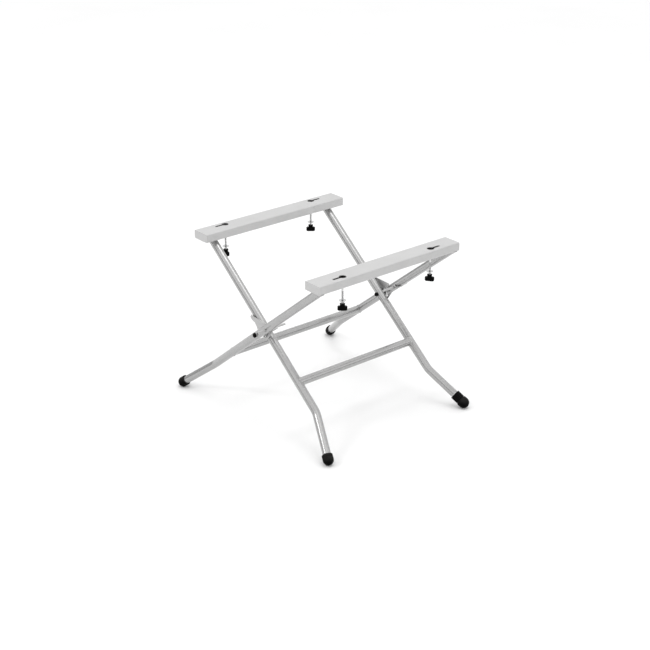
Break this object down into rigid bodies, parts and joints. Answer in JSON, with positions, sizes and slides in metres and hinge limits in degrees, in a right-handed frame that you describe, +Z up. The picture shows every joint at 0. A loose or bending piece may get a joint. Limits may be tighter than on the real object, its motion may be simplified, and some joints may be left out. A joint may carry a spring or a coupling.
{
  "type": "folding sawhorse stand",
  "caption": "Folding X-frame work stand of bent steel tube with flat top bars, keyholes, hanging clamp knobs, lock levers, rubber feet and a screw-adjustable foot.",
  "frame": {"origin": "on the floor, at the centre of the overall footprint of the opened stand", "axes": "+Z up, Y along the two bars and the folding hinge, +X across the stand towards the outer frame's bar and the inner frame's feet"},
  "size_m": [0.728, 0.6578, 0.5464],
  "materials": {
    "silver_paint": "satin silver-grey powder coat",
    "zinc": "bright zinc-plated steel",
    "dark_zinc": "dull zinc-plated steel",
    "black_plastic": "fine-grained black plastic",
    "rubber": "matt black rubber"
  },
  "bodies": {
    "inner_frame": {"rear_bar": "silver_paint", "rear_bar_end_left": "silver_paint", "rear_bar_end_right": "silver_paint", "inner_leg_left": "silver_paint", "inner_leg_right": "silver_paint", "inner_crossbar": "silver_paint", "inner_foot_left": "rubber", "adjuster_bush": "zinc", "lock_disc_left": "zinc", "lock_disc_right": "zinc", "pivot_bolt_left": "zinc", "pivot_bolt_right": "zinc", "pivot_washer_left": "zinc", "pivot_washer_right": "zinc", "pivot_cap_left": "black_plastic", "pivot_cap_right": "black_plastic", "pivot_nut_left": "black_plastic", "pivot_nut_right": "black_plastic"},
    "outer_frame": {"front_bar": "silver_paint", "front_bar_end_left": "silver_paint", "front_bar_end_right": "silver_paint", "outer_leg_left": "silver_paint", "outer_leg_right": "silver_paint", "outer_crossbar": "silver_paint", "outer_foot_left": "rubber", "outer_foot_right": "rubber", "stop_plate_left": "silver_paint", "stop_plate_right": "silver_paint", "lever_rivet_left": "dark_zinc", "lever_rivet_right": "dark_zinc", "lever_spring_left": "zinc", "lever_spring_right": "zinc"},
    "lever_left": {"lock_lever_left": "silver_paint"},
    "lever_right": {"lock_lever_right": "silver_paint"},
    "foot_collar": {"adjuster_collar": "black_plastic"},
    "screw_foot": {"adjuster_stud": "zinc", "adjuster_foot": "rubber"},
    "clamp_rear_left": {"clamp_bolt_rear_left": "zinc", "clamp_washer_rear_left": "zinc"},
    "clamp_rear_right": {"clamp_bolt_rear_right": "zinc", "clamp_washer_rear_right": "zinc"},
    "clamp_front_left": {"clamp_bolt_front_left": "zinc", "clamp_washer_front_left": "zinc"},
    "clamp_front_right": {"clamp_bolt_front_right": "zinc", "clamp_washer_front_right": "zinc"},
    "knob_rear_left": {"clamp_knob_rear_left": "black_plastic"},
    "knob_rear_right": {"clamp_knob_rear_right": "black_plastic"},
    "knob_front_left": {"clamp_knob_front_left": "black_plastic"},
    "knob_front_right": {"clamp_knob_front_right": "black_plastic"}
  },
  "joints": [
    {"name": "fold", "type": "hinge", "parent": "inner_frame", "child": "outer_frame", "pos_m": [0, 0, 0.294], "axis": [0, -1, 0], "range_deg": [0, 85]},
    {"name": "lever_squeeze_left", "type": "hinge", "parent": "outer_frame", "child": "lever_left", "pos_m": [0.04845, 0, 0.32628], "axis": [0, -1, 0], "range_deg": [0, 6], "stiffness_Nm_per_rad": 0.6, "springref_deg": -14.32},
    {"name": "lever_squeeze_right", "type": "hinge", "parent": "outer_frame", "child": "lever_right", "pos_m": [0.04845, 0, 0.32628], "axis": [0, -1, 0], "range_deg": [0, 6], "stiffness_Nm_per_rad": 0.6, "springref_deg": -14.32},
    {"name": "collar_turn", "type": "hinge", "parent": "inner_frame", "child": "foot_collar", "pos_m": [0.34574, 0.2795, 0.018], "axis": [0.7398, 0.3223, -0.5906], "range_deg": [0, 2160]},
    {"name": "foot_extend", "type": "slide", "parent": "inner_frame", "child": "screw_foot", "axis": [0.7398, 0.3223, -0.5906], "range_m": [0, 0.012]},
    {"name": "clamp_lift_rear_left", "type": "slide", "parent": "inner_frame", "child": "clamp_rear_left", "axis": [0, 0, 1], "range_m": [0, 0.044]},
    {"name": "clamp_lift_rear_right", "type": "slide", "parent": "inner_frame", "child": "clamp_rear_right", "axis": [0, 0, 1], "range_m": [0, 0.044]},
    {"name": "clamp_lift_front_left", "type": "slide", "parent": "outer_frame", "child": "clamp_front_left", "axis": [0, 0, 1], "range_m": [0, 0.044]},
    {"name": "clamp_lift_front_right", "type": "slide", "parent": "outer_frame", "child": "clamp_front_right", "axis": [0, 0, 1], "range_m": [0, 0.044]},
    {"name": "knob_turn_rear_left", "type": "hinge", "parent": "clamp_rear_left", "child": "knob_rear_left", "pos_m": [-0.2825, -0.173, 0.45], "axis": [0, 0, 1], "continuous": true},
    {"name": "knob_turn_rear_right", "type": "hinge", "parent": "clamp_rear_right", "child": "knob_rear_right", "pos_m": [-0.2825, 0.173, 0.45], "axis": [0, 0, 1], "continuous": true},
    {"name": "knob_turn_front_left", "type": "hinge", "parent": "clamp_front_left", "child": "knob_front_left", "pos_m": [0.2825, -0.173, 0.45], "axis": [0, 0, 1], "continuous": true},
    {"name": "knob_turn_front_right", "type": "hinge", "parent": "clamp_front_right", "child": "knob_front_right", "pos_m": [0.2825, 0.173, 0.45], "axis": [0, 0, 1], "continuous": true}
  ],
  "couplings": [
    {"joint": "collar_turn", "follows": "foot_extend", "rad_per_m": 3141.5}
  ]
}
